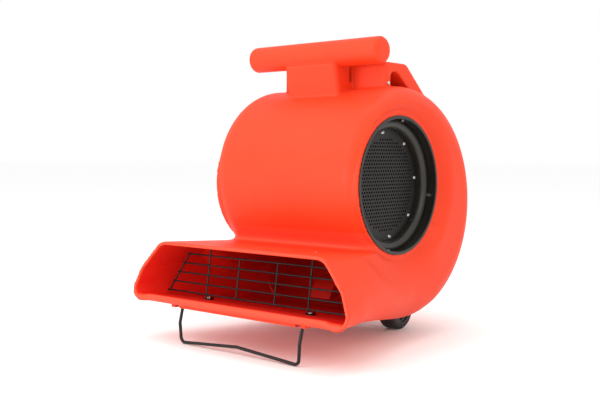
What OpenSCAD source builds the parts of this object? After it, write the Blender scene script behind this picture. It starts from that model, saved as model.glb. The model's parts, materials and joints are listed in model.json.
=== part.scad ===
// Commercial air mover (carpet dryer): moulded scroll case with a low flared outlet,
// double inlet fan with the motor inside it, wire outlet grille, folding wire stand.
// Millimetres. The origin is on the floor at the centre of the outline. Z = 0 is the floor,
// X = 0 the middle plane, and the outlet faces -Y.

/* [Scroll case] */
// Half width of the scroll case
case_half = 176; // [130:1:240]
// Rounding between the rim and the cheeks of the case
edge_r = 45; // [20:1:60]
// Height of the fan axis above the floor
axis_z = 278; // [200:1:360]
// Distance of the fan axis behind the origin
fan_y = 7; // [0:0.5:20]
// Height of the top of the scroll
case_top = 451; // [380:1:560]
// Position of the front of the scroll
case_front = -130; // [-180:1:-126]
// Radius of the front arc
arc_front = 162.6; // [140:0.1:200]
// Radius of the rear arc
arc_back = 209.3; // [180:0.1:260]
// Radius of the lower arc
arc_low = 202.4; // [170:0.1:250]
// Moulded wall thickness
wall = 4; // [3:0.5:7]
// Outer radius of the rolled dish round each inlet
dish_r = 158; // [150:1:166]
// Rounding of the dish
roll_r = 38; // [24:1:48]

/* [Outlet chute] */
// Height of the top of the outlet
mouth_top = 178; // [150:1:220]
// Height of the bottom of the outlet
mouth_low = 76.5; // [60:0.5:110]
// Half width of the outlet at its bottom
mouth_half = 242; // [180:1:300]
// Half width of the flat top edge of the outlet
mouth_top_half = 171; // [120:1:200]
// Rounding of the upper outlet corners
mouth_top_r = 32; // [10:1:45]
// Rounding of the lower outlet corners
mouth_low_r = 16; // [8:1:30]
// Radius of the bow in each side of the outlet
mouth_side_r = 30; // [20:1:34]
// Position of the outlet's lower edge
mouth_y = -256; // [-320:1:-200]
// Backward lean of the outlet face in degrees
mouth_lean = 9.5; // [0:0.5:20]
// Height of the chute roof where it meets the scroll
tongue_z = 167; // [150:1:185]

/* [Handle and console] */
// Half length of the handle bar
bar_half = 148; // [90:1:180]
// Radius of the handle bar
bar_r = 23.5; // [14:0.5:28]
// Position of the bar axis
bar_y = -31.2; // [-60:0.2:0]
// Height of the bar axis
bar_z = 508.8; // [480:0.2:560]
// Half width of the pedestal below the bar
pedestal_half = 58; // [35:1:90]
// Right end of the console behind the bar
console_half = 130; // [124:1:131]
// Left end of the console behind the bar
console_left = 100; // [90:1:131]
// Height of the console top
console_z = 493; // [470:1:520]
// Depth of the pocket in the console's right end
pocket_deep = 36; // [10:1:44]

/* [Inlets] */
// Outer radius of the inlet ring
ring_r = 120; // [100:1:124]
// Distance of the ring rim from the middle plane
ring_x = 162; // [150:0.5:174]
// Radius of the bolt circle of the inlet screen
bolt_r = 92; // [88:0.5:95]
// Turn of the screen screws in degrees
bolt_turn = 7; // [0:1:44]
// Pitch of the screen holes
hole_pitch = 7; // [6:0.5:20]
// Diameter of the screen holes
hole_d = 4; // [3:0.5:9]

/* [Fan and motor] */
// Radius of the fan wheel
fan_r = 98.5; // [90:0.5:110]
// Half width of the fan wheel
fan_half = 100; // [70:1:102]
// Blades in the fan wheel
blades = 30; // [16:1:40]
// Radius of the motor can
motor_r = 62; // [45:1:70]
// Radius of the motor shaft
shaft_r = 8; // [5:0.5:10]

/* [Running gear] */
// Radius of the rear wheels
wheel_r = 38; // [25:1:45]
// Position of the wheel axle
wheel_y = 120.5; // [90:0.5:150]
// Outer face of each wheel
wheel_out = 89; // [80:1:120]
// Width of each wheel
wheel_w = 32; // [20:1:36]
// Radius of the stand wire
wire_r = 2.75; // [2:0.25:4]
// Radius of the stand's pivot bar
pin_r = 3.1; // [2.5:0.1:4]
// Position of the stand pivot
pivot_y = -230; // [-240:1:-215]
// Height of the stand pivot
pivot_z = 68.3; // [64:0.1:68.5]

/* [Controls] */
// Radius of the speed knob
knob_r = 17; // [12:0.5:22]
// Height of the speed knob
knob_h = 17; // [10:0.5:24]

/* [Hidden] */

$fn = 64;
eps = 0.01;
c1 = [case_front + arc_front, case_top - arc_front];
c2 = [c1[0], case_top - arc_back];
c3 = [c2[0] + arc_back - arc_low, c2[1]];
case_low = c3[1] - arc_low;
case_back = c3[0] + arc_low;
floor_tilt = atan2(mouth_low - case_low, c1[0] - mouth_y);
neck_r = 118.3;
seat_x = 125.2;
screen_x = 130.4;
screen_t = 1.6;
split_y = -62;
split_z = 181;
tab_y = -173.8;
rail_z = 63.5;
ring_turn = -10.5;
lean = atan2(57, 68);
orange = "#f4572f";
black = "#26262a";
steel = "#c8ccd0";

// The sub-parts are drawn with the fan axis at Y = 0 and then set back to the origin
module placed() { translate([0, fan_y, 0]) children(); }
// Local frame with its z axis along X and its x axis along Y
module across(y, z) { translate([0, y, z]) rotate([90, 0, 90]) children(); }
module both() { children(); mirror([1, 0, 0]) children(); }
module rod(a, b, r) {
    d = b - a;
    translate(a) rotate([0, acos(d[2] / norm(d)), atan2(d[1], d[0])])
        cylinder(h = norm(d), r = r, $fn = 24);
}
function unit(v) = v / norm(v);
function arc_at(a, b, c, k) = let (d = unit(b - a), e = unit(c - b), turn = acos(d * e),
    w = unit(e - (d * e) * d), o = b - k * tan(turn / 2) * d + k * w)
    [for (t = [0 : 5]) o + k * (sin(turn * t / 5) * d - cos(turn * t / 5) * w)];
function route(p, k) = concat([p[0]], [for (i = [1 : len(p) - 2]) each arc_at(p[i - 1], p[i], p[i + 1], k)],
    [p[len(p) - 1]]);
function ring_of(p, i, r, n) = let (last = len(p) - 1,
    t = unit(p[min(i + 1, last)] - p[max(i - 1, 0)]), u = unit(cross([0, 1, 0], t)), v = cross(t, u))
    [for (j = [0 : n - 1]) p[i] + r * (cos(360 * j / n) * u + sin(360 * j / n) * v)];
// A wire of radius r through the corners pts, bent to radius k at each corner
module bent_wire(pts, r, k, n = 16) {
    p = route(pts, k);
    m = len(p);
    polyhedron([for (i = [0 : m - 1]) each ring_of(p, i, r, n)],
        concat([[for (j = [0 : n - 1]) j]], [[for (j = [n - 1 : -1 : 0]) (m - 1) * n + j]],
            [for (i = [0 : m - 2], j = [0 : n - 1]) let (q = (j + 1) % n)
                [i * n + q, i * n + j, (i + 1) * n + j, (i + 1) * n + q]]));
}

// ---- case ----
module rim_half(r, h, e) {
    translate([0, -h]) square([r - e, 2 * h]);
    translate([0, e - h]) square([r, 2 * (h - e)]);
    for (s = [-1, 1]) translate([r - e, s * (h - e)]) circle(r = e);
}
module sector(c, r, from, sweep, in, e) {
    across(c[0], c[1]) rotate([0, 0, from])
        rotate_extrude(angle = sweep, $fn = 128) rim_half(r - in, case_half - in, e - in);
}
module scroll(in) {
    sector(c1, arc_front, 90, 150, in, edge_r);
    sector(c1, arc_front, 228, in > 0 ? 50 : 42, in, 14);
    sector(c2, arc_back, 0, 90, in, edge_r);
    sector(c3, arc_low, -90, 90, in, edge_r);
    translate([0, c1[0], c3[1]]) rotate([-90, 90, 0])
        linear_extrude(height = c3[0] - c1[0] + eps)
            rim_half(arc_low - in, case_half - in, edge_r - in);
}
module mouth(in, ahead) {
    translate([0, mouth_y, mouth_low]) rotate([-mouth_lean, 0, 0])
        translate([0, ahead, 0]) rotate([90, 0, 0]) both() {
            translate([mouth_top_half, mouth_top - mouth_low - mouth_top_r, 0])
                cylinder(h = 1, r = mouth_top_r - in, $fn = 48);
            translate([mouth_half - mouth_low_r, mouth_low_r, 0])
                cylinder(h = 1, r = mouth_low_r - in, $fn = 48);
            translate([mouth_half - 8.5 - mouth_side_r, 35, 0])
                cylinder(h = 1, r = mouth_side_r - in, $fn = 64);
        }
}
module chute(in, ahead) {
    hull() {
        mouth(in, ahead);
        both() {
            translate([case_half - 14, c1[0] + 2, tongue_z - 20]) sphere(r = 14 - in, $fn = 32);
            translate([case_half - edge_r, c1[0] + 1.5, case_low + edge_r])
                rotate([-90, 0, 0]) cylinder(h = 1, r = edge_r - in, $fn = 64);
            translate([221 - 30, -150, 92]) sphere(r = 30 - in, $fn = 32);
            translate([168, -76, tongue_z - 13]) sphere(r = 14 - in, $fn = 32);
        }
    }
}
module outer_form() { scroll(0); chute(0, 1); }
module inner_form() { scroll(wall); chute(wall, -9); }
module dish(r_in, x_in) {
    rotate_extrude($fn = 128) difference() {
        translate([r_in, x_in]) square([dish_r - r_in, case_half - x_in]);
        dish_gap();
        translate([dish_r, case_half - roll_r]) circle(r = roll_r - wall);
    }
}
module dish_gap() difference() {
    translate([0, ring_x - 0.5]) square([dish_r, 60]);
    translate([dish_r, case_half - roll_r]) circle(r = roll_r);
}
module dish_void() { rotate_extrude($fn = 128) dish_gap(); }
module ring_bore(r) {
    both() across(0, axis_z) translate([0, 0, 100]) cylinder(h = 120, r = r, $fn = 128);
}
module lower_block() {
    translate([-300, -400, -10]) cube([600, 400 + split_y, 10 + split_z]);
}
module wells(grow) {
    both() across(wheel_y, wheel_r) translate([0, 0, wheel_out - wheel_w - 4 - grow])
        cylinder(h = wheel_w + 8 + 2 * grow, r = wheel_r + 6 + grow);
}
module lugs() {
    for (x = [-48, 38]) translate([x, 0, 0]) difference() {
        union() {
            across(wheel_y, wheel_r) cylinder(h = 10, r = 12);
            translate([0, wheel_y - 12, wheel_r]) cube([10, 24, 30]);
        }
        scroll(wall / 2);
    }
}
module shell() {
    difference() {
        union() {
            difference() {
                outer_form();
                inner_form();
                both() across(0, axis_z) dish_void();
            }
            intersection() {
                outer_form();
                both() across(0, axis_z) dish(neck_r, ring_x - 4.5);
            }
            both() across(0, axis_z) translate([0, 0, ring_x - 22]) difference() {
                cylinder(h = 21.5, r = neck_r + 4.7, $fn = 128);
                translate([0, 0, -1]) cylinder(h = 24, r = neck_r, $fn = 128);
            }
        }
        ring_bore(neck_r);
    }
}
module case_scroll() placed() color(orange) difference() {
    union() {
        difference() {
            shell();
            lower_block();
        }
        intersection() {
            scroll(0);
            wells(wall);
        }
        lugs();
    }
    wells(0);
    across(wheel_y, wheel_r) translate([0, 0, -60]) cylinder(h = 120, r = 4);
    ring_screw_holes();
}
module case_chute() placed() color(orange) difference() {
    intersection() {
        shell();
        lower_block();
    }
    both() translate([116.5, -187, 60]) cylinder(h = 30, r = 2.1, $fn = 24);
    both() translate([116.5, tab_y, 160]) cylinder(h = 30, r = 2.1, $fn = 24);
    rail_screw_holes();
}

// ---- handle and console ----
module console() placed() color(orange) difference() {
    union() {
        translate([-console_left, 0, 0]) across(0, 0) linear_extrude(height = console_half + console_left)
            polygon([[0, 400], [0, console_z], [66, console_z], [134, console_z - 57], [134, 400]]);
        intersection() {
            translate([-pedestal_half, 0, 0]) across(0, 0) linear_extrude(height = 2 * pedestal_half)
                polygon([[-32, 408], [-54, bar_z - 19], [-51, console_z], [4, console_z], [4, 408]]);
            translate([0, 0, 400]) linear_extrude(height = 140) union() {
                translate([-pedestal_half + 10, -80]) square([2 * pedestal_half - 20, 90]);
                translate([-pedestal_half, -42]) square([2 * pedestal_half, 52]);
                for (s = [-1, 1]) translate([s * (pedestal_half - 10), -42]) circle(r = 10);
            }
        }
    }
    scroll(0);
    across(bar_y, bar_z) translate([0, 0, -200]) cylinder(h = 400, r = bar_r, $fn = 96);
    translate([-84, 0, 0]) across(0, 0) linear_extrude(height = 168)
        polygon([[wall, 400], [wall, console_z - wall], [64, console_z - wall], [129, 434], [129, 400]]);
    translate([-pedestal_half + 8, 0, 0]) across(0, 0) linear_extrude(height = 2 * pedestal_half - 16)
        polygon([[-26, 400], [-42, 482], [-10, 482], [0.5, 476], [0.5, 400]]);
    translate([console_half - pocket_deep, 0, 0]) across(0, 0) linear_extrude(height = pocket_deep + 1)
        union() {
            polygon([[16, 400], [16, 470], [22, 476], [34, 477], [40, 474.5], [88, 436], [88, 400]]);
            translate([22, 470]) circle(r = 6);
        }
    at_console_screws() translate([0, 0, -12]) cylinder(h = 14, r = 1.8, $fn = 24);
    on_slope() translate([-50, -24, -20]) cube([100, 50, 24]);
    on_slope() for (x = [-56, 56], y = [-26, 28]) translate([x, y, -7]) cylinder(h = 8, r = 1.6, $fn = 24);
}
module at_console_screws() {
    translate([console_half, 7.5, 456]) rotate([0, 90, 0]) children();
    translate([-console_left, 7.5, 456]) rotate([0, -90, 0]) children();
}
module on_slope() {
    translate([0, 100, console_z - 28.5]) rotate([-lean, 0, 0]) rotate([0, 0, 180]) children();
}
module handle_bar() placed() color(orange) across(bar_y, bar_z) difference() {
    rotate_extrude($fn = 96) rim_half(bar_r, bar_half, 9);
    translate([0, 0, 6 - bar_half]) cylinder(h = 2 * bar_half - 12, r = bar_r - wall);
}
module console_screws() placed() color(steel) at_console_screws() {
    translate([0, 0, -10]) cylinder(h = 10, r = 1.75, $fn = 24);
    cylinder(h = 1.8, r = 3, $fn = 32);
}

// ---- inlets ----
module ring_profile() {
    translate([114.5, ring_x - 3]) square([3.7, 3]);
    translate([115, ring_x - 0.5]) square([ring_r - 115, 1.5]);
    translate([114.5, 138]) square([3.3, ring_x - 139]);
    difference() {
        translate([107.8, 138.3]) circle(r = 10);
        translate([107.8, 138.3]) circle(r = 7.4);
        translate([80, 118.3]) square([50, 20]);
    }
    translate([97.8, seat_x]) square([2.6, 13.4]);
    translate([84, seat_x]) square([16.4, 2.6]);
    translate([84, 104]) square([2.4, seat_x - 103]);
}
module bolts_at(n, r, turn) {
    for (i = [0 : n - 1]) rotate([0, 0, turn + i * 360 / n]) translate([r, 0, 0]) children();
}
module inlet_ring() across(0, axis_z) difference() {
    rotate_extrude($fn = 128) ring_profile();
    translate([0, 0, seat_x - 1]) bolts_at(8, bolt_r, bolt_turn) cylinder(h = 5, r = 2, $fn = 24);
    translate([0, 0, 151]) bolts_at(4, 112, ring_turn) rotate([0, 90, 0]) cylinder(h = 8, r = 1.7, $fn = 24);
}
module inlet_ring_right() placed() color(black) inlet_ring();
module inlet_ring_left() placed() color(black) mirror([1, 0, 0]) inlet_ring();
module screen() across(0, axis_z) translate([0, 0, screen_x]) linear_extrude(height = screen_t) difference() {
    circle(r = 97.6, $fn = 128);
    bolts_2d();
    for (i = [-12 : 12], j = [-13 : 13]) {
        x = hole_pitch * (i + (j % 2 == 0 ? 0 : 0.5));
        y = hole_pitch * 0.866 * j;
        if (norm([x, y]) < 81) translate([x, y]) circle(d = hole_d, $fn = 16);
    }
}
module bolts_2d() {
    for (i = [0 : 7]) rotate(bolt_turn + i * 45) translate([bolt_r, 0]) circle(r = 2, $fn = 24);
}
module screen_right() placed() color("#33302c") screen();
module screen_left() placed() color("#33302c") mirror([1, 0, 0]) screen();
module seat_ring() difference() {
    circle(r = 97.6, $fn = 128);
    circle(r = 84, $fn = 128);
    bolts_2d();
}
module screen_gasket() placed() color("#1c1c1c") across(0, axis_z) translate([0, 0, seat_x + 2.6])
    linear_extrude(height = 2.6) seat_ring();
module screen_screws() across(0, axis_z) translate([0, 0, seat_x - 0.5]) bolts_at(8, bolt_r, bolt_turn) {
    reach = screen_x + screen_t - seat_x + 0.5;
    cylinder(h = reach, r = 1.95, $fn = 24);
    translate([0, 0, reach]) cylinder(h = 2, r1 = 3.4, r2 = 2.2, $fn = 32);
}
module screen_screws_right() placed() color(steel) screen_screws();
module screen_screws_left() placed() color(steel) mirror([1, 0, 0]) screen_screws();
module ring_screw_holes() {
    both() across(0, axis_z) translate([0, 0, 151]) bolts_at(4, 110, ring_turn)
        rotate([0, 90, 0]) cylinder(h = 11.5, r = 1.7, $fn = 24);
}
module ring_screws() across(0, axis_z) translate([0, 0, 151])
    bolts_at(4, 112.6, ring_turn) rotate([0, 90, 0]) {
    cylinder(h = 8.8, r = 1.65, $fn = 24);
    cylinder(h = 1.75, r = 3.2, $fn = 32);
}
module ring_screws_right() placed() color(steel) ring_screws();
module ring_screws_left() placed() color(steel) mirror([1, 0, 0]) ring_screws();

// ---- motor ----
module motor_spider() placed() color("#8f9296") across(0, axis_z) translate([0, 0, -screen_x]) difference() {
    linear_extrude(height = 2.6) union() {
        seat_ring();
        for (a = [0 : 3]) rotate(bolt_turn + a * 90) difference() {
            translate([40, -11]) square([50, 22]);
            translate([bolt_r, 0]) circle(r = 2, $fn = 24);
        }
        circle(r = 46);
    }
    bolts_at(4, 38, bolt_turn + 45) translate([0, 0, -eps]) cylinder(h = 2.62, r1 = 4.6, r2 = 2.2, $fn = 32);
    translate([0, 0, -1]) cylinder(h = 5, r = 14);
}
module motor_bolts() placed() color(steel) across(0, axis_z) translate([0, 0, -screen_x])
    bolts_at(4, 38, bolt_turn + 45) {
    cylinder(h = 2.6, r1 = 4.6, r2 = 2.2, $fn = 32);
    translate([0, 0, 2.6]) cylinder(h = 8, r = 2.2, $fn = 24);
}
module motor_can() placed() color("#3c4248") across(0, axis_z) translate([0, 0, -114]) difference() {
    cylinder(h = 80, r = motor_r - 0.5);
    translate([0, 0, -1]) cylinder(h = 82, r = motor_r - 3.5);
}
module motor_end_rear() placed() color("#9a9da1") across(0, axis_z) translate([0, 0, -127.8]) difference() {
    union() {
        cylinder(h = 10, r = 50);
        translate([0, 0, 6]) cylinder(h = 7.8, r = motor_r);
        cylinder(h = 26, r = 20);
    }
    translate([0, 0, 12]) cylinder(h = 15, r = 16);
    translate([0, 0, 8]) cylinder(h = 10, r = 10);
    translate([0, 0, -0.4]) bolts_at(4, 38, bolt_turn + 45) cylinder(h = 8.4, r = 2.2, $fn = 24);
    bolts_at(8, 56, 0) translate([0, 0, 5]) cylinder(h = 10, r = 3.5, $fn = 24);
}
module motor_end_front() placed() color("#9a9da1") across(0, axis_z) translate([0, 0, -46]) difference() {
    union() {
        cylinder(h = 22, r = 20);
        translate([0, 0, 12]) cylinder(h = 7, r = motor_r);
        translate([0, 0, 19]) cylinder(h = 3, r = 40);
    }
    translate([0, 0, -1]) cylinder(h = 14, r = 16);
    cylinder(h = 30, r = shaft_r + 2);
    bolts_at(8, 52, 22.5) translate([0, 0, 11]) cylinder(h = 10, r = 4, $fn = 24);
}
module motor_stator() placed() color("#7a4a2a") across(0, axis_z) {
    translate([0, 0, -96]) difference() {
        cylinder(h = 46, r = motor_r - 3.5);
        translate([0, 0, -1]) cylinder(h = 48, r = 34);
    }
    for (x = [-103.5, -48]) translate([0, 0, x]) rotate_extrude() translate([46, 3]) circle(r = 5, $fn = 32);
}
module motor_bearings() placed() color(steel) across(0, axis_z) for (x = [-115.8, -46]) translate([0, 0, x])
    difference() {
    cylinder(h = 10, r = 16);
    translate([0, 0, -1]) cylinder(h = 12, r = shaft_r + 0.05);
}
module motor_rotor() placed() color("#6d7278") across(0, axis_z) translate([0, 0, -94]) difference() {
    cylinder(h = 42, r = 33);
    translate([0, 0, -1]) cylinder(h = 44, r = shaft_r);
}
module motor_shaft() placed() color("#d4d6d8") across(0, axis_z) difference() {
    translate([0, 0, -118]) cylinder(h = 152, r = shaft_r);
    translate([-12, shaft_r - 1.2, 14]) cube([24, 4, 24]);
}

// ---- fan ----
module blade_form() {
    n = 6;
    function p(i, o) = let (t = i / n, r = 86 + (fan_r - 86) * t, a = 16 * pow(t, 1.6) + o)
        [r * cos(a), r * sin(a)];
    polygon(concat([for (i = [0 : n]) p(i, 0)], [for (i = [n : -1 : 0]) p(i, 0.85)]));
}
module fan_wheel() placed() color("#2d2f33") across(0, axis_z) union() {
    translate([0, 0, 6]) difference() {
        cylinder(h = 2.4, r = fan_r - 1, $fn = 96);
        translate([0, 0, -1]) cylinder(h = 5, r = 14);
    }
    for (s = [-1, 1]) translate([0, 0, s * (fan_half - 1) - 1.5]) difference() {
        cylinder(h = 3, r = fan_r + 1, $fn = 96);
        translate([0, 0, -1]) cylinder(h = 5, r = 91, $fn = 96);
    }
    for (i = [0 : blades - 1]) rotate([0, 0, i * 360 / blades]) translate([0, 0, -fan_half])
        linear_extrude(height = 2 * fan_half) blade_form();
}
module fan_hub() placed() color("#b8bbbf") across(0, axis_z) difference() {
    union() {
        translate([0, 0, -10]) cylinder(h = 40, r = 14);
        translate([0, 0, 8.4]) cylinder(h = 4, r = 26);
    }
    translate([0, 0, -11]) cylinder(h = 42, r = shaft_r);
    translate([0, 0, 22]) rotate([-90, 0, 0]) cylinder(h = 20, r = 3, $fn = 24);
}
module hub_screw() placed() color("#3a3a3c") across(0, axis_z) translate([0, shaft_r - 1.2, 22])
    rotate([-90, 0, 0]) difference() {
    cylinder(h = 8, r = 3, $fn = 24);
    translate([0, 0, 5]) cylinder(h = 4, r = 1.5, $fn = 24);
}

// ---- outlet grille ----
function grille_y(z) = -196 + (z - 83) * 0.15;
function grille_half(z) = 212 - (z - 83) * 0.62;
module outlet_grille() placed() color(black) {
    for (i = [0 : 4]) {
        z = 83 + i * 17;
        rod([-grille_half(z) - 2, grille_y(z), z], [grille_half(z) + 2, grille_y(z), z], 1.5);
    }
    both() translate([0, 2.5, 0]) {
        rod([grille_half(81), grille_y(81), 81], [grille_half(153), grille_y(153), 153], 1.5);
        rod([43.5, grille_y(81), 81], [43.5, grille_y(153), 153], 1.5);
        rod([116.5, grille_y(75.5), 75.5], [116.5, grille_y(167.5), 167.5], 1.5);
    }
    both() translate([116.5, -187, 73.2]) rotate([floor_tilt, 0, 0]) difference() {
        cylinder(h = 2.8, r = 8.5);
        translate([0, 0, -1]) cylinder(h = 5, r = 2.4, $fn = 24);
    }
    both() translate([116.5, tab_y, 168.3]) rotate([-3.7, 0, 0]) difference() {
        translate([0, 0, -2.4]) cylinder(h = 2.8, r = 7);
        translate([0, 0, -4]) cylinder(h = 6, r = 2.4, $fn = 24);
    }
}
module grille_screws() placed() color(steel) both() {
    translate([116.5, -187, 67]) cylinder(h = 9.2, r = 2, $fn = 24);
    translate([116.5, -187, 76.1]) rotate([floor_tilt, 0, 0]) cylinder(h = 2.4, r1 = 4.4, r2 = 3, $fn = 32);
    translate([116.5, tab_y, 164]) cylinder(h = 10, r = 2, $fn = 24);
    translate([116.5, tab_y, 163]) cylinder(h = 2.4, r1 = 3, r2 = 4.4, $fn = 32);
}

// ---- stand ----
module rail_screw_holes() {
    for (x = [-110, -40, 40, 110]) translate([x, pivot_y - 8.5, 66]) cylinder(h = 14, r = 1.9, $fn = 24);
}
module stand_rail() placed() color(orange) difference() {
    translate([-152, pivot_y - 14, rail_z]) cube([304, 26, 81 - rail_z]);
    chute(0, 1);
    translate([-150, 0, 0]) across(pivot_y, pivot_z) cylinder(h = 300, r = pin_r + 0.08, $fn = 32);
    both() translate([132, pivot_y - 15, 50]) cube([10, 28, 24]);
    for (x = [-110, -40, 40, 110]) translate([x, pivot_y - 8.5, 50]) {
        cylinder(h = 40, r = 1.9, $fn = 24);
        cylinder(h = rail_z - 47.4, r = 3.8, $fn = 32);
    }
}
module rail_screws() placed() color(steel) for (x = [-110, -40, 40, 110])
    translate([x, pivot_y - 8.5, rail_z + 0.1]) {
    cylinder(h = 2.4, r = 3.4, $fn = 32);
    cylinder(h = 12, r = 1.85, $fn = 24);
}
module kickstand() placed() color(black)
    bent_wire([[-137, pivot_y, pivot_z], [-136.4, -238.4, 36.4], [-133.8, -237.6, wire_r],
               [0, -237.6, 12.6], [133.8, -237.6, wire_r], [136.4, -238.4, 36.4],
               [137, pivot_y, pivot_z]], wire_r, 9);
module stand_pin() placed() color(black)
    rod([-145, pivot_y, pivot_z], [145, pivot_y, pivot_z], pin_r);

// ---- wheels ----
module axle() placed() color(steel) across(wheel_y, wheel_r) translate([0, 0, -96])
    cylinder(h = 192, r = 4, $fn = 48);
module axle_spacers() placed() color(black) both() across(wheel_y, wheel_r) translate([0, 0, 48])
    difference() {
    cylinder(h = wheel_out - wheel_w - 48.4, r = 8);
    translate([0, 0, -1]) cylinder(h = 20, r = 4, $fn = 48);
}
module axle_caps() placed() color(black) both() across(wheel_y, wheel_r) translate([0, 0, wheel_out + 0.5])
    difference() {
    union() {
        cylinder(h = 4, r = 8);
        translate([0, 0, 4]) cylinder(h = 5, r1 = 8, r2 = 5.5);
    }
    translate([0, 0, -1]) cylinder(h = 7.5, r = 4, $fn = 48);
}
module tyre() across(wheel_y, wheel_r) translate([0, 0, wheel_out - wheel_w])
    rotate_extrude($fn = 96) difference() {
    translate([wheel_r - 10, wheel_w / 2]) rotate(-90) translate([-wheel_w / 2, 0]) union() {
        square([wheel_w, 4]);
        translate([6, 0]) square([wheel_w - 12, 10]);
        for (x = [6, wheel_w - 6]) translate([x, 4]) circle(r = 6);
    }
    square([wheel_r - 10, wheel_w]);
}
module tyre_right() placed() color("#1b1b1d") tyre();
module tyre_left() placed() color("#1b1b1d") mirror([1, 0, 0]) tyre();
module wheel_hub() across(wheel_y, wheel_r) translate([0, 0, wheel_out - wheel_w]) difference() {
    cylinder(h = wheel_w, r = wheel_r - 10, $fn = 96);
    translate([0, 0, wheel_w - 2.5]) difference() {
        cylinder(h = 4, r = wheel_r - 13, $fn = 96);
        translate([0, 0, -1]) cylinder(h = 6, r = 10);
    }
    bolts_at(6, 18, 30) translate([0, 0, -1]) cylinder(h = wheel_w + 2, r = 3.2, $fn = 24);
    translate([0, 0, -1]) cylinder(h = wheel_w + 2, r = 4.08, $fn = 48);
}
module wheel_hub_right() placed() color("#2e2e31") wheel_hub();
module wheel_hub_left() placed() color("#2e2e31") mirror([1, 0, 0]) wheel_hub();

// ---- controls on the rear slope ----
module switch_plate() placed() color("#303236") on_slope() difference() {
    translate([-60, -31, 0.1]) cube([120, 64, 2.2]);
    translate([0, 8, -1]) cylinder(h = 5, r = 5.2);
    translate([36, 8, -1]) cylinder(h = 5, r = 6);
    translate([-38, 4, -1]) cylinder(h = 5, r = 8);
    for (x = [-56, 56], y = [-26, 28]) translate([x, y, -1]) cylinder(h = 5, r = 1.7, $fn = 24);
}
module plate_screws() placed() color(steel) on_slope() for (x = [-56, 56], y = [-26, 28])
    translate([x, y, -6]) {
    cylinder(h = 8.3, r = 1.6, $fn = 24);
    translate([0, 0, 8.3]) cylinder(h = 1.8, r1 = 3.4, r2 = 2.4, $fn = 32);
}
module speed_switch() placed() color("#46484c") on_slope() difference() {
    union() {
        translate([-18, -6, -18]) cube([36, 28, 18]);
        translate([0, 8, 0]) cylinder(h = 5.8, r = 5);
    }
    translate([0, 8, -10]) cylinder(h = 20, r = 3.05, $fn = 32);
}
module speed_knob() placed() color("#1e1f22") on_slope() translate([0, 8, 0]) {
    translate([0, 0, -8]) cylinder(h = 16, r = 3, $fn = 32);
    difference() {
        translate([0, 0, 6.4]) union() {
            cylinder(h = knob_h - 4, r = knob_r);
            translate([0, 0, knob_h - 4]) cylinder(h = 4, r1 = knob_r, r2 = knob_r - 3);
        }
        for (s = [-1, 1]) translate([s * (knob_r - 2) - 6, -knob_r, 13]) cube([12 - eps, 2 * knob_r, knob_h]);
    }
}
module breaker_body() placed() color("#55575b") on_slope() difference() {
    union() {
        translate([27, 0, -18]) cube([18, 20, 18]);
        translate([36, 8, 0]) cylinder(h = 6, r = 5.8);
    }
    translate([36, 8, -7]) cylinder(h = 20, r = 3.58, $fn = 32);
}
module reset_button() placed() color("#b5241c") on_slope() translate([36, 8, 0]) {
    translate([0, 0, -2.5]) cylinder(h = 11.5, r = 3.5, $fn = 32);
}
module cord_gland() placed() color("#1a1a1c") on_slope() translate([-38, 4, 0]) difference() {
    union() {
        translate([0, 0, -8]) cylinder(h = 10.3, r = 7.9);
        translate([0, 0, 2.3]) cylinder(h = 7, r = 12);
        translate([0, 0, 9.3]) cylinder(h = 6, r1 = 10, r2 = 7);
        translate([0, 0, -12]) cylinder(h = 6, r = 11);
    }
    translate([0, 0, -13]) cylinder(h = 30, r = 4.2, $fn = 48);
}
module capacitor() placed() color("#a9adb2") translate([-72, 21.4, 470.6]) rotate([0, 90, 0]) {
    cylinder(h = 56, r = 16);
    translate([0, 0, 56]) cylinder(h = 2, r = 14.5);
    for (s = [-5, 5]) translate([s, 0, 57]) cylinder(h = 6, r = 1.5, $fn = 24);
}
module capacitor_clip() placed() color("#7d8084") translate([-52, 21.4, 470.6]) rotate([0, 90, 0])
    difference() {
    union() {
        cylinder(h = 14, r = 17.2);
        translate([-16.9, -17.4, 0]) cube([33, 1.6, 14]);
    }
    translate([0, 0, -1]) cylinder(h = 16, r = 16);
}

case_scroll();
case_chute();
console();
handle_bar();
console_screws();
inlet_ring_right();
inlet_ring_left();
screen_right();
screen_left();
screen_gasket();
screen_screws_right();
screen_screws_left();
ring_screws_right();
ring_screws_left();
motor_spider();
motor_bolts();
motor_can();
motor_end_rear();
motor_end_front();
motor_stator();
motor_bearings();
motor_rotor();
motor_shaft();
fan_wheel();
fan_hub();
hub_screw();
outlet_grille();
grille_screws();
stand_rail();
rail_screws();
kickstand();
stand_pin();
axle();
axle_spacers();
axle_caps();
tyre_right();
wheel_hub_right();
tyre_left();
wheel_hub_left();
switch_plate();
plate_screws();
speed_switch();
speed_knob();
breaker_body();
reset_button();
cord_gland();
capacitor();
capacitor_clip();
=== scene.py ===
import bpy, bmesh
import json
import math
import numpy as np
from mathutils import Matrix, Vector


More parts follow.
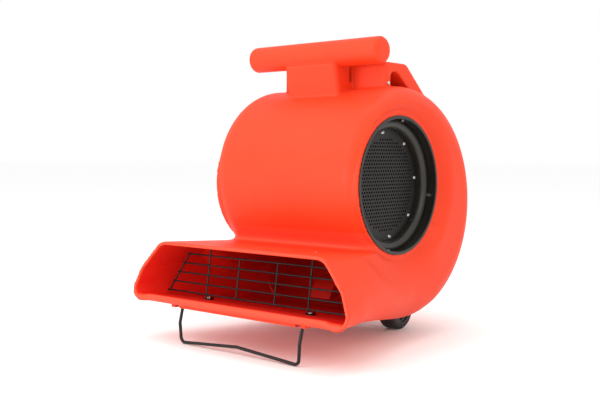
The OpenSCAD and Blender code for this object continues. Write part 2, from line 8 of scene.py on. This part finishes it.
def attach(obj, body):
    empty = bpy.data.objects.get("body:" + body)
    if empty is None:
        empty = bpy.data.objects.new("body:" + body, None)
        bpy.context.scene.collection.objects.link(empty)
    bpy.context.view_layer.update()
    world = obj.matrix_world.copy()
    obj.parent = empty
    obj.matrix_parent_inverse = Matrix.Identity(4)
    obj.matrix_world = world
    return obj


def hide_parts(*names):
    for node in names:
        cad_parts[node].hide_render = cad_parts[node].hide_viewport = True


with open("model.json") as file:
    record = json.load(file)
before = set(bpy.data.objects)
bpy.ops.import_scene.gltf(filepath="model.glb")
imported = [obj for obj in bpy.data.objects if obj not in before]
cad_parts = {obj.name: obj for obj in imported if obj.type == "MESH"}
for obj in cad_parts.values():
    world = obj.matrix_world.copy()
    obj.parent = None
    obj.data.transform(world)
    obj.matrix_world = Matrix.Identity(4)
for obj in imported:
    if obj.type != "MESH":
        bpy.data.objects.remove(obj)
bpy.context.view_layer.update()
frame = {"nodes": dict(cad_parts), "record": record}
nodes = frame["nodes"]

MM = 0.001
FAN_Y = 7.0  # the fan axis is this far behind the origin

# ------------------------------------------------------------------ camera
EYE = (1.01574, -1.27962, 0.33157)
AZ, EL, ROLL = (math.radians(a) for a in (39.99, 2.96, 0.16))
back = Vector((math.sin(AZ) * math.cos(EL), -math.cos(AZ) * math.cos(EL), math.sin(EL)))
right = Vector((math.cos(AZ), math.sin(AZ), 0.0))
up = right.cross(-back)
r = math.cos(ROLL) * right + math.sin(ROLL) * up
u = -math.sin(ROLL) * right + math.cos(ROLL) * up
lens = bpy.data.cameras.new("camera")
lens.sensor_width, lens.lens = 36.0, 53.42
camera = bpy.data.objects.new("camera", lens)
bpy.context.scene.collection.objects.link(camera)
camera.matrix_world = Matrix((
    (r.x, u.x, back.x, EYE[0]), (r.y, u.y, back.y, EYE[1]), (r.z, u.z, back.z, EYE[2]), (0, 0, 0, 1)))
bpy.context.scene.camera = camera


# ------------------------------------------------------------------ materials
def linear(red, green, blue):
    """An sRGB colour as the linear RGBA that a shader takes."""
    return tuple(c / 3294.6 if c <= 10 else ((c / 255 + 0.055) / 1.055) ** 2.4
                 for c in (red, green, blue)) + (1.0,)


def surface(name, dark, light, rough, metallic=0.0, specular=0.5, coat=0.0, patch=22.0, grain=900.0, bump=0.15,
            depth=0.0003, stretch=(1, 1, 1)):
    """A procedural finish: colour drifts from dark to light, with varied roughness and a fine bump."""
    mat = bpy.data.materials.new(name)
    mat.use_nodes = True
    tree = mat.node_tree
    shader = tree.nodes["Principled BSDF"]
    shader.inputs["Metallic"].default_value = metallic
    shader.inputs["Specular IOR Level"].default_value = specular
    shader.inputs["Coat Weight"].default_value = coat
    coord = tree.nodes.new("ShaderNodeTexCoord")
    mapping = tree.nodes.new("ShaderNodeMapping")
    mapping.inputs["Scale"].default_value = stretch
    tree.links.new(coord.outputs["Object"], mapping.inputs["Vector"])
    noises = []
    for scale, detail in ((patch, 5.0), (grain, 3.0)):
        noise = tree.nodes.new("ShaderNodeTexNoise")
        noise.inputs["Scale"].default_value = scale
        noise.inputs["Detail"].default_value = detail
        tree.links.new(mapping.outputs["Vector"], noise.inputs["Vector"])
        noises.append(noise)
    ramp = tree.nodes.new("ShaderNodeValToRGB")
    ramp.color_ramp.elements[0].position, ramp.color_ramp.elements[0].color = 0.3, dark
    ramp.color_ramp.elements[1].position, ramp.color_ramp.elements[1].color = 0.7, light
    tree.links.new(noises[0].outputs["Fac"], ramp.inputs["Fac"])
    tree.links.new(ramp.outputs["Color"], shader.inputs["Base Color"])
    spread = tree.nodes.new("ShaderNodeMapRange")
    spread.inputs["From Min"].default_value, spread.inputs["From Max"].default_value = 0.3, 0.7
    spread.inputs["To Min"].default_value, spread.inputs["To Max"].default_value = rough
    tree.links.new(noises[0].outputs["Fac"], spread.inputs["Value"])
    tree.links.new(spread.outputs["Result"], shader.inputs["Roughness"])
    rise = tree.nodes.new("ShaderNodeBump")
    rise.inputs["Strength"].default_value, rise.inputs["Distance"].default_value = bump, depth
    tree.links.new(noises[1].outputs["Fac"], rise.inputs["Height"])
    tree.links.new(rise.outputs["Normal"], shader.inputs["Normal"])
    return mat


SHELL_COLOURS = (linear(226, 60, 26), linear(230, 65, 31))
SHELL_LOOK = {"rough": (0.44, 0.56), "specular": 0.22, "patch": 9.0, "grain": 1100.0, "bump": 0.10, "depth": 0.00012}
FINISH = {
    "case": surface("case_plastic", *SHELL_COLOURS, **SHELL_LOOK),
    "ring": surface("ring_plastic", linear(24, 23, 18), linear(32, 31, 25), (0.30, 0.42), grain=1400.0, bump=0.12),
    "screen": surface("screen_steel", linear(12, 8, 7), linear(19, 12, 10), (0.42, 0.55), specular=0.4, patch=14.0),
    "gasket": surface("gasket_rubber", linear(20, 20, 20), linear(28, 28, 27), (0.7, 0.85)),
    "screw": surface("screw_zinc", linear(196, 198, 200), linear(222, 223, 222), (0.22, 0.36), metallic=1.0,
                     patch=300.0, grain=2500.0),
    "steel": surface("bright_steel", linear(150, 152, 154), linear(186, 187, 188), (0.25, 0.4), metallic=1.0,
                     patch=60.0, grain=2000.0, stretch=(0.2, 1, 1)),
    "cast_metal": surface("cast_alloy", linear(118, 120, 122), linear(142, 144, 145), (0.45, 0.62), metallic=0.9,
                          grain=1500.0, bump=0.3),
    "motor_paint": surface("motor_enamel", linear(44, 49, 55), linear(54, 60, 66), (0.3, 0.42), coat=0.2),
    "winding": surface("copper_winding", linear(120, 62, 30), linear(158, 88, 44), (0.3, 0.45), metallic=0.6,
                       patch=120.0, stretch=(6, 1, 1)),
    "fan_plastic": surface("fan_nylon", linear(34, 35, 38), linear(46, 47, 50), (0.42, 0.58)),
    "wire": surface("wire_coating", linear(12, 11, 12), linear(20, 18, 19), (0.38, 0.5), specular=0.35, patch=80.0,
                    grain=2200.0),
    "mark": surface("printed_mark", linear(214, 214, 208), linear(228, 228, 222), (0.5, 0.6), patch=200.0),
    "tyre": surface("tyre_rubber", linear(24, 24, 25), linear(34, 34, 34), (0.62, 0.8), patch=60.0, bump=0.3),
    "black_plastic": surface("black_plastic", linear(24, 24, 26), linear(34, 34, 36), (0.36, 0.5), patch=50.0),
    "plate": surface("plate_plastic", linear(38, 40, 43), linear(48, 50, 53), (0.42, 0.55), bump=0.3, grain=1800.0),
    "button": surface("button_plastic", linear(168, 26, 20), linear(188, 34, 26), (0.25, 0.35), patch=120.0),
    "can": surface("capacitor_can", linear(150, 154, 158), linear(176, 179, 182), (0.3, 0.45), metallic=0.9,
                   patch=60.0),
}


def toned(mat, attribute, tone, share):
    """Turns the colour of mat towards tone where the mesh attribute says so."""
    tree = mat.node_tree
    socket = tree.nodes["Principled BSDF"].inputs["Base Color"]
    source = socket.links[0].from_socket
    read = tree.nodes.new("ShaderNodeAttribute")
    read.attribute_name = attribute
    scale = tree.nodes.new("ShaderNodeMath")
    scale.operation = "MULTIPLY"
    scale.inputs[1].default_value = share
    mix = tree.nodes.new("ShaderNodeMix")
    mix.data_type = "RGBA"
    mix.inputs["B"].default_value = tone
    tree.links.new(read.outputs["Fac"], scale.inputs[0])
    tree.links.new(scale.outputs["Value"], mix.inputs["Factor"])
    tree.links.new(source, mix.inputs["A"])
    tree.links.new(mix.outputs["Result"], socket)


FINISH["shell"] = surface("moulded_shell", *SHELL_COLOURS, **SHELL_LOOK)
# painted shade: the hollow's inside is turned darker and redder, standing in for shade and red bounce light inside
# the housing
toned(FINISH["shell"], "inside_painted_shade", linear(232, 30, 22), 0.9)
# painted highlight: the outlet lip's front-facing faces are turned lighter and pinker
toned(FINISH["shell"], "lip_highlight", linear(238, 80, 58), 0.55)

for part in frame["record"]["subparts"]:
    mesh = nodes[part["node"]].data
    mesh.materials.clear()
    mesh.materials.append(FINISH[part["material_slot"]])


# ------------------------------------------------------------------ the moulded housing as a distance field, in mm
WALL = 6.0  # the moulding's thickness
CORNER_LOBE = ((222.0, -262.0, 86.0), (196.0, -190.0, 94.0), 16.5)  # each lower corner of the outlet hangs a little
LIP_BEAD = ((0.0, -251.0, 75.5), (224.0, -251.0, 75.5), 5.6)  # the rolled lower lip
CELL = 3.0  # the grid's spacing
CASE_HALF = 176.0  # half the drum's width
DISH_R, ROLL_R = 158.0, 38.0  # each side rolls in to its inlet from this radius, with this bend
AXIS_Z = 278.0  # the fan axis
WHEEL_Y, WHEEL_Z = 120.5, 38.0
LEAN = math.atan2(57, 68)  # the control panel's slope


def soft_min(a, b, k):
    """The union of two distances, blended over k."""
    h = np.maximum(k - np.abs(a - b), 0.0) / np.maximum(k, 1e-6)
    return np.minimum(a, b) - h * h * k * 0.25


def soft_max(a, b, k):
    """The overlap of two distances, blended over k."""
    return -soft_min(-a, -b, k)


def rim(flat, across, half, edge):
    """A flat outline pulled out to a half width, with its rim rounded."""
    qx, qr = across - (half - edge), flat + edge
    return np.hypot(np.maximum(qx, 0), np.maximum(qr, 0)) + np.minimum(np.maximum(qx, qr), 0) - edge


def scroll(x, y, z):
    """The drum: arcs about three centres, pulled out to the case's width."""
    front = np.hypot(y - 32.6, z - 288.4) - 162.6
    yc = np.maximum(y, 32.6)
    rear = np.where(z > 241.7, np.hypot(yc - 32.6, z - 241.7) - 209.3,
                    np.where(yc > 39.5, np.hypot(yc - 39.5, z - 241.7) - 202.4, 39.3 - z))
    gap = np.maximum(32.6 - y, 0)
    rear = np.where(gap > 0, np.hypot(np.maximum(rear, 0), gap), rear)
    return rim(np.minimum(front, rear), x, CASE_HALF, 45.0)


def chute_planes():
    """The planes of the chute's convex form: (n, d) with the outlet's own plane last."""
    pts = []
    lean = math.radians(-9.5)

    def mouth(px, pz, rad):
        for i in range(64):
            a = 2 * math.pi * i / 64
            for ahead in (-1.0, 0.0):
                h = pz + rad * math.sin(a)
                pts.append((px + rad * math.cos(a), -256.0 + ahead * math.cos(lean) - h * math.sin(lean),
                            76.5 + ahead * math.sin(lean) + h * math.cos(lean)))

    def ball(cx, cy, cz, rad):
        for i in range(1, 24):
            b = math.pi * i / 24 - math.pi / 2
            for j in range(48):
                a = 2 * math.pi * j / 48
                pts.append((cx + rad * math.cos(b) * math.cos(a), cy + rad * math.cos(b) * math.sin(a),
                            cz + rad * math.sin(b)))

    for s in (-1, 1):
        mouth(s * 171.0, 178.0 - 76.5 - 32.0, 32.0)
        mouth(s * 226.0, 16.0, 16.0)
        mouth(s * 203.5, 35.0, 30.0)
        ball(s * 162.0, 34.6, 147.0, 14.0)
        ball(s * 191.0, -150.0, 92.0, 30.0)
        ball(s * 168.0, -76.0, 154.0, 14.0)
        for j in range(96):
            a = 2 * math.pi * j / 96
            for cy in (34.1, 35.1):
                pts.append((s * 131.0 + 45 * math.cos(a), cy, 84.3 + 45 * math.sin(a)))
    bm = bmesh.new()
    for p in pts:
        bm.verts.new(p)
    bmesh.ops.convex_hull(bm, input=bm.verts[:])
    rows = {}
    for f in bm.faces:
        n = f.normal
        if n.length > 0.5 and n.x > -0.01 and f.calc_area() > 0.02:
            key = (round(n.x, 3), round(n.y, 3), round(n.z, 3), round(n.dot(f.verts[0].co), 1))
            rows[key] = (n.x, n.y, n.z, -n.dot(f.verts[0].co))
    bm.free()
    table = np.array(list(rows.values()), np.float32)
    return table, table[:, 1] < -0.93


PLANES, MOUTH_FACING = chute_planes()


def capsule(x, y, z, a, b, radius):
    """A round bar from a to b."""
    a, b = np.array(a), np.array(b)
    d = b - a
    t = np.clip(((x - a[0]) * d[0] + (y - a[1]) * d[1] + (z - a[2]) * d[2]) / (d @ d), 0, 1)
    return np.sqrt((x - a[0] - t * d[0]) ** 2 + (y - a[1] - t * d[1]) ** 2 + (z - a[2] - t * d[2]) ** 2) - radius


def chute(x, y, z):
    """Distances to the chute's outer form, and to the form without its outlet plane."""
    full = np.full(x.shape, 60.0, np.float32)
    open_ = full.copy()
    near = np.flatnonzero((y < 60) & (z < 205))
    for at in range(0, len(near), 20000):
        s = near[at:at + 20000]
        p = np.stack((x[s], y[s], z[s], np.ones(len(s), np.float32)), 1) @ PLANES.T
        rest = p[:, ~MOUTH_FACING].max(1)
        rest = soft_min(rest, capsule(x[s], y[s], z[s], *CORNER_LOBE), 12.0)
        full[s] = np.maximum(rest, p[:, MOUTH_FACING].max(1))
        open_[s] = rest
    return full, open_


def polygon(y, z, pts, k):
    """A convex outline in Y and Z, anticlockwise, with softened corners."""
    d = None
    for (y0, z0), (y1, z1) in zip(pts, pts[1:] + pts[:1]):
        size = math.hypot(y1 - y0, z1 - z0)
        side = ((z1 - z0) * (y - y0) - (y1 - y0) * (z - z0)) / size
        d = side if d is None else soft_max(d, side, k)
    return d


def housing(signed_x, y, z, parts=None):
    """The distance to the moulded housing's skin; parts takes the masks' distances if it is a dict."""
    x = np.abs(signed_x)
    rad = np.hypot(y, z - AXIS_Z)

    # drum and chute, with a fillet at the tongue
    drum = scroll(x, y, z)
    flare, flare_open = chute(x, y, z)
    blend = 22.0 * np.clip((20 - y) / 60, 0, 1) * np.clip((z - 105) / 30, 0, 1)
    outer = soft_min(drum, flare, blend)
    hollow = np.minimum(drum + WALL, np.maximum(flare_open + WALL, y - 40))

    # the sides roll in to the inlets
    past = np.maximum(rad - DISH_R, 0)
    bowl = np.where(rad < DISH_R, ROLL_R - np.hypot(rad - DISH_R, x - CASE_HALF + ROLL_R),
                    (CASE_HALF + 0.05 * past ** 2 - x) / np.sqrt(1 + 0.01 * past ** 2))
    roll = np.maximum(161.5 - x, bowl)
    outer = soft_max(outer, -roll, 8.0 * np.clip((x - CASE_HALF - 1) / 4, 0, 1))
    skin = np.maximum(outer, -np.maximum(hollow, WALL - roll))
    tube = np.maximum(np.abs(rad - 121.5) - 3.2, np.maximum(140 - x, x - 161.5))
    skin = np.minimum(skin, tube)
    skin = soft_min(skin, capsule(x, y, z, *LIP_BEAD), 5.0)

    # wheel wells and axle lugs
    hub = np.hypot(y - WHEEL_Y, z - WHEEL_Z)
    well = np.maximum(hub - 44, np.abs(x - 73) - 20)
    boss = np.maximum(drum, np.maximum(hub - 50, np.abs(x - 73) - 26))
    web = np.maximum(np.abs(y - WHEEL_Y) - 12, np.maximum(WHEEL_Z - z, z - 68))
    lug = np.maximum(np.abs(x - 43) - 5, np.minimum(hub - 12, web))
    skin = np.minimum(skin, np.maximum(boss, -well))
    skin = np.maximum(skin, -well)
    skin = soft_min(skin, lug, 4.0)
    if parts is not None:
        parts.update(outer=outer, front=flare - flare_open)

    # console and pedestal
    box = polygon(y, z, [(0, 400), (134, 400), (134, 436), (66, 493), (0, 493)], 4.0)
    box = soft_max(box, np.maximum(signed_x - 130, -100 - signed_x), 5.0)
    pocket = polygon(y, z, [(16, 380), (88, 380), (88, 436), (40, 474.5), (34, 477), (22, 476), (16, 470)], 4.0)
    pocket = soft_max(pocket, 94 - signed_x, 6.0)
    box = soft_max(box, -pocket, 3.0)
    post = polygon(y, z, [(-32, 400), (8, 400), (8, 493), (-51, 493), (-54, 489.8)], 4.0)
    post = soft_max(post, x - 58, 10.0)
    groove = np.maximum(np.maximum(np.abs(y + 4.0) - 3.2, 460 - z), np.maximum(50 - x, x - 70))
    post = soft_max(post, -groove, 2.5)
    bar = rim(np.hypot(y + 31.2, z - 508.8) - 23.5, x, 148.0, 9.0)
    top = soft_min(soft_min(box, post, 2.0), bar, 2.0)
    room = np.maximum(polygon(y, z, [(6, 380), (129, 380), (129, 433), (63, 487), (6, 487)], 2.0), x - 84)
    neck = np.maximum(polygon(y, z, [(-26, 380), (0.5, 380), (0.5, 476), (-10, 482), (-42, 482)], 2.0), x - 50)
    top = np.maximum(np.maximum(top, -room), -neck)
    c, s = math.cos(LEAN), math.sin(LEAN)
    along, out = (y - 100) * c - (z - 464.5) * s, (y - 100) * s + (z - 464.5) * c
    panel = np.maximum(np.maximum(np.abs(out + 8) - 14, x - 50), np.maximum(along - 24, -26 - along))
    top = np.maximum(top, -panel)
    skin = np.where(z > 380, soft_min(skin, np.maximum(top, -(drum + WALL / 2)), 3.5), skin)
    return np.maximum(skin, -np.maximum(rad - 118.3, 100 - x))


def net(values, low, step):
    """The zero surface of a grid of values as quads, one point in each crossed cell (naive surface nets)."""
    inside = values < 0
    n = [k - 1 for k in inside.shape]
    part = lambda a, i, j, k: a[i:i + n[0], j:j + n[1], k:k + n[2]]
    corners = [(i, j, k) for i in (0, 1) for j in (0, 1) for k in (0, 1)]
    count = sum(part(inside, *c).astype(np.int8) for c in corners)
    active = (count > 0) & (count < 8)
    ids = np.full(active.shape, -1, np.int64)
    at = np.argwhere(active)
    ids[active] = np.arange(len(at))
    v = {c: values[at[:, 0] + c[0], at[:, 1] + c[1], at[:, 2] + c[2]] for c in corners}
    total, hits = np.zeros((len(at), 3)), np.zeros(len(at))
    for a in corners:
        for axis in range(3):
            if a[axis]:
                continue
            b = tuple(1 if m == axis else a[m] for m in range(3))
            cross = (v[a] < 0) != (v[b] < 0)
            t = np.where(cross, v[a] / np.where(cross, v[a] - v[b], 1), 0)
            point = np.array(a, float)[None, :].repeat(len(at), 0)
            point[:, axis] = t
            total += point * cross[:, None]
            hits += cross
    points = (at + total / hits[:, None]) * step + np.array(low)
    quads = []
    for axis in range(3):
        b, c = (axis + 1) % 3, (axis + 2) % 3
        lo = [slice(None)] * 3
        hi = [slice(None)] * 3
        lo[axis], hi[axis] = slice(0, -1), slice(1, None)
        first, second = inside[tuple(lo)], inside[tuple(hi)]
        spot = np.argwhere(first != second)
        spot = spot[(spot[:, b] > 0) & (spot[:, c] > 0) & (spot[:, b] < n[b]) & (spot[:, c] < n[c])]
        ring = []
        for db, dc in ((1, 1), (0, 1), (0, 0), (1, 0)):
            cell = spot.copy()
            cell[:, b] -= db
            cell[:, c] -= dc
            ring.append(ids[cell[:, 0], cell[:, 1], cell[:, 2]])
        quad = np.stack(ring, 1)
        outward = first[spot[:, 0], spot[:, 1], spot[:, 2]]
        quad[~outward] = quad[~outward][:, ::-1]
        quads.append(quad)
    return points, np.concatenate(quads)


def slope(points, step):
    """The gradient of the housing's distance, from central differences."""
    g = np.empty_like(points)
    for axis in range(3):
        q = points.copy()
        q[:, axis] += step
        hi = housing(*q.T)
        q[:, axis] -= 2 * step
        g[:, axis] = (hi - housing(*q.T)) / (2 * step)
    return g


def ease(points, quads, normals, share, rounds):
    """Draws the surface smooth where share is above zero, and turns its normals to suit."""
    ends = np.concatenate([quads[:, [k, (k + 1) % 4]] for k in range(4)])
    near = (share[ends] > 0).all(1)
    ends = ends[near]
    a, b = np.concatenate((ends[:, 0], ends[:, 1])), np.concatenate((ends[:, 1], ends[:, 0]))
    total = np.maximum(np.bincount(a, minlength=len(points)), 1)[:, None]

    def mean(rows):
        return np.stack([np.bincount(a, rows[b, k], minlength=len(rows)) for k in range(3)], 1) / total

    where = share > 0
    for _ in range(rounds):
        points[where] += (share[:, None] * (mean(points) - points))[where]
    p = points[quads]
    flat = np.cross(p[:, 2] - p[:, 0], p[:, 3] - p[:, 1])
    turned = np.stack([sum(np.bincount(quads[:, c], flat[:, k], minlength=len(points)) for c in range(4))
                       for k in range(3)], 1)
    turned /= np.maximum(np.linalg.norm(turned, axis=1), 1e-9)[:, None]
    for _ in range(12):
        turned[where] += (share[:, None] * (mean(turned) - turned))[where]
    weight = np.clip(share * 3, 0, 1)[:, None]
    normals = normals * (1 - weight) + turned * weight
    return points, normals / np.maximum(np.linalg.norm(normals, axis=1), 1e-9)[:, None]


def grid_housing():
    """The housing's points, quads, normals, and the masks for painted shade inside the hollow and a painted highlight
    on the outlet lip.
    """
    xs = np.arange(-243, 244, CELL, dtype=np.float32)
    ys = np.arange(-282, 252, CELL, dtype=np.float32)
    zs = np.arange(30, 540, CELL, dtype=np.float32)
    gy, gz = (a.ravel() for a in np.meshgrid(ys, zs, indexing="ij"))
    values = np.stack([housing(np.full(gy.shape, px, np.float32), gy, gz).reshape(len(ys), len(zs)) for px in xs])
    points, quads = net(values, (xs[0], ys[0], zs[0]), CELL)
    points = points.astype(np.float32)
    for _ in range(2):
        g = slope(points, 0.4)
        f = housing(*points.T)
        move = f / np.maximum((g * g).sum(1), 0.25)
        points -= np.clip(move, -0.4 * CELL, 0.4 * CELL)[:, None] * g
    normals = slope(points, 1.6)
    normals /= np.maximum(np.linalg.norm(normals, axis=1), 1e-6)[:, None]
    parts = {}
    housing(*points.T, parts=parts)
    facing_out = np.clip(-normals[:, 1] - 0.3, 0, 0.5) * 2
    near_front = (points[:, 2] < 200) & (parts["front"] > -1e-3) & (parts["outer"] > -0.6 * CELL)
    # painted shade mask: the inside of the hollow below the console, clear of the outlet's front faces
    inside_painted_shade = np.clip((-parts["outer"] - 2.0) / 3.0, 0, 1) * (points[:, 2] < 400) * (1 - near_front)
    # painted highlight mask: the outlet's front surfaces, the more they face forward
    lip_highlight = near_front * facing_out

    # the cheeks below the inlets are drawn smooth, clear of the inlets and the outlet
    side = np.clip((np.abs(points[:, 0]) - 150) / 14, 0, 1) * np.clip((points[:, 1] + 205) / 40, 0, 1)
    low = np.clip((158 - points[:, 2]) / 8, 0, 1) * np.clip((110 - points[:, 1]) / 30, 0, 1)
    share = side * low * np.clip((np.hypot(points[:, 1], points[:, 2] - AXIS_Z) - 128) / 10, 0, 1)
    share *= (parts["outer"] > -0.6 * CELL) * 0.8
    points, normals = ease(points.astype(float), quads, normals, share, 110)
    return points, quads, normals, {"inside_painted_shade": inside_painted_shade, "lip_highlight": lip_highlight}


def mesh_object(name, points, faces, finish, smooth=True, normals=None):
    """A mesh object in the scene with its finish and slot; an array of faces is filled in fast."""
    mesh = bpy.data.meshes.new(name)
    if isinstance(faces, np.ndarray):
        mesh.vertices.add(len(points))
        mesh.vertices.foreach_set("co", np.ascontiguousarray(points, np.float32).ravel())
        mesh.loops.add(faces.size)
        mesh.loops.foreach_set("vertex_index", faces.ravel().astype(np.int32))
        mesh.polygons.add(len(faces))
        mesh.polygons.foreach_set("loop_start", np.arange(0, faces.size, faces.shape[1], dtype=np.int32))
        mesh.update(calc_edges=True)
        mesh.validate()
    else:
        mesh.from_pydata([tuple(p) for p in points], [], [tuple(f) for f in faces])
    mesh.polygons.foreach_set("use_smooth", [smooth] * len(mesh.polygons))
    if normals is not None:
        mesh.normals_split_custom_set_from_vertices(normals.tolist())
    mesh.materials.append(FINISH[finish])
    ob = bpy.data.objects.new(name, mesh)
    bpy.context.scene.collection.objects.link(ob)
    return ob


points, quads, normals, masks = grid_housing()
points[:, 1] += FAN_Y
shell = mesh_object("housing", points * MM, quads, "case", normals=normals)
shell.data.materials[0] = FINISH["shell"]
for name, values in masks.items():
    shell.data.attributes.new(name, "FLOAT", "POINT").data.foreach_set("value", values.astype(np.float32))
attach(shell, "machine")
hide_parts("case_scroll", "case_chute", "console", "handle_bar")


# ------------------------------------------------------------------ stand wire, marks, and painted shade in the screw recesses
def route(pts, radius, steps=10):
    """A path through the corners pts with each corner bent to a radius, in mm."""
    pts = [Vector(p) for p in pts]
    out = [pts[0]]
    for a, b, c in zip(pts, pts[1:], pts[2:]):
        d, e = (b - a).normalized(), (c - b).normalized()
        turn = d.angle(e)
        if turn < 0.01:
            continue
        w = (e - d.dot(e) * d).normalized()
        o = b - radius * math.tan(turn / 2) * d + radius * w
        out += [o + radius * (math.sin(turn * t / steps) * d - math.cos(turn * t / steps) * w)
                for t in range(steps + 1)]
    return out + [pts[-1]]


# half of the stand's wire, from its pivot down to the middle of the foot, about the fan's own origin
STAND = [(137, -230, 68.3), (136.4, -238.4, 36.4), (133.8, -237.6, 2.75), (0, -237.6, 12.6)]
corners = STAND + [(-px, py, pz) for px, py, pz in STAND[-2::-1]]
path = route(corners, 9.0)
curve = bpy.data.curves.new("stand_wire", "CURVE")
curve.dimensions, curve.bevel_depth, curve.bevel_resolution, curve.use_fill_caps = "3D", 2.75 * MM, 6, True
spline = curve.splines.new("POLY")
spline.points.add(len(path) - 1)
for knot, p in zip(spline.points, path):
    knot.co = (p.x * MM, (p.y + FAN_Y) * MM, p.z * MM, 1)
spline.use_smooth = True
curve.materials.append(FINISH["wire"])
stand_wire = bpy.data.objects.new("stand_wire", curve)
bpy.context.scene.collection.objects.link(stand_wire)
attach(stand_wire, "stand")
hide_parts("kickstand")

def on_slope(px, py, pz):
    """A point of the rear control panel's frame, in metres of the row frame."""
    c, s = math.cos(LEAN), math.sin(LEAN)
    return (-px * MM, (100 - py * c + pz * s + FAN_Y) * MM, (464.5 + py * s + pz * c) * MM)


def on_side(sign, turn):
    """The frame of one inlet screen's screw head: its own x and y lie on the head."""
    a = math.radians(turn)
    return lambda px, py, pz: (sign * (134.0 + pz) * MM, (92 * math.cos(a) + px + FAN_Y) * MM,
                               (AXIS_Z + 92 * math.sin(a) + py) * MM)


def strokes(name, items, finish, body, rise=0.35):
    """Raised rounded strokes: each item is (place, x, y, length, width, turn, base height)."""
    verts, faces = [], []
    for place, px, py, length, width, turn, base in items:
        a = math.radians(turn)
        outline = []
        for end in (1, -1):
            for i in range(7):
                b = math.pi * (i / 6 - 0.5) + (0 if end > 0 else math.pi)
                outline.append((end * (length - width) / 2 + width / 2 * math.cos(b), width / 2 * math.sin(b)))
        n = len(outline)
        start = len(verts)
        for grow, up_ in ((1.0, 0.0), (1.0, rise * 0.6), (0.86, rise)):
            for ox, oy in outline:
                ox, oy = ox * (grow if length > width else grow), oy * grow
                verts.append(place(px + ox * math.cos(a) - oy * math.sin(a), py + ox * math.sin(a) + oy * math.cos(a),
                                   base + up_))
        for ring_ in range(2):
            for i in range(n):
                j = (i + 1) % n
                lo = start + ring_ * n
                faces.append((lo + i, lo + j, lo + n + j, lo + n + i))
        faces.append(tuple(range(start + 2 * n, start + 3 * n)))
        faces.append(tuple(reversed(range(start, start + n))))
    ob = mesh_object(name, verts, faces, finish, smooth=False)
    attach(ob, body)
    return ob


pointer = strokes("knob_pointer", [(on_slope, 0, 8 + 9.5, 11, 1.8, 90, 23.3)], "mark", "knob")
ticks = []
for k, turn in enumerate((90, 30, -30)):
    a = math.radians(turn)
    ticks.append((on_slope, 21.5 * math.cos(a), 8 + 19.3 * math.sin(a), 3.2, 1.1, turn, 2.25))
ticks.append((on_slope, 36, 17.5, 6, 1.0, 0, 2.25))
dial = strokes("dial_ticks", ticks, "mark", "machine", rise=0.25)
# painted shade: each screw's cross recess is two thin dark strokes laid on the head, standing in for the shade inside
# the recess
slots = []
for sign in (-1, 1):
    for k in range(8):
        place = on_side(sign, 7 + 45 * k)
        slots += [(place, 0, 0, 3.4, 0.8, t, -0.12) for t in (20, 110)]
for px in (-56, 56):
    for py in (-26, 28):
        slots += [(on_slope, px, py, 3.8, 0.9, t, 4.05) for t in (35, 125)]
drive_recess_shade = strokes("screw_drive_painted_shade", slots, "gasket", "machine", rise=0.18)

# ------------------------------------------------------------------ floor and light
floor_mesh = bpy.data.meshes.new("floor")
floor_mesh.from_pydata([(-30, -30, 0), (30, -30, 0), (30, 30, 0), (-30, 30, 0)], [], [(0, 1, 2, 3)])
floor = bpy.data.objects.new("floor", floor_mesh)
bpy.context.scene.collection.objects.link(floor)
floor_mesh.materials.append(surface("floor_paint", (0.975, 0.975, 0.975, 1), (0.985, 0.985, 0.985, 1), (0.85, 0.9),
                                    specular=0.1, bump=0.02))

world = bpy.data.worlds.new("world")
bpy.context.scene.world = world
world.use_nodes = True
world.node_tree.nodes["Background"].inputs["Color"].default_value = (1, 1, 1, 1)
world.node_tree.nodes["Background"].inputs["Strength"].default_value = 1.0


def area(name, place, target, size, power, colour=(1, 1, 1)):
    """A rectangular soft light at place, turned to its target."""
    light = bpy.data.lights.new(name, "AREA")
    light.shape, light.size, light.size_y = "RECTANGLE", size[0], size[1]
    light.energy, light.color = power, colour
    ob = bpy.data.objects.new(name, light)
    bpy.context.scene.collection.objects.link(ob)
    ob.location = place
    ob.rotation_euler = (Vector(target) - Vector(place)).to_track_quat("-Z", "Y").to_euler()
    return ob


area("key", (-0.9, -2.0, 2.3), (0, 0, 0.25), (1.8, 1.8), 24)
area("fill", (2.4, -1.2, 1.5), (0, 0, 0.3), (1.6, 1.6), 16, (1.0, 0.84, 0.62))
area("top", (0.2, 0.3, 2.6), (0, 0, 0.3), (1.6, 1.6), 14)
area("front", (-0.5, -2.3, 0.45), (0, -0.1, 0.12), (1.2, 0.6), 16)
bpy.context.scene.view_settings.view_transform = "Standard"
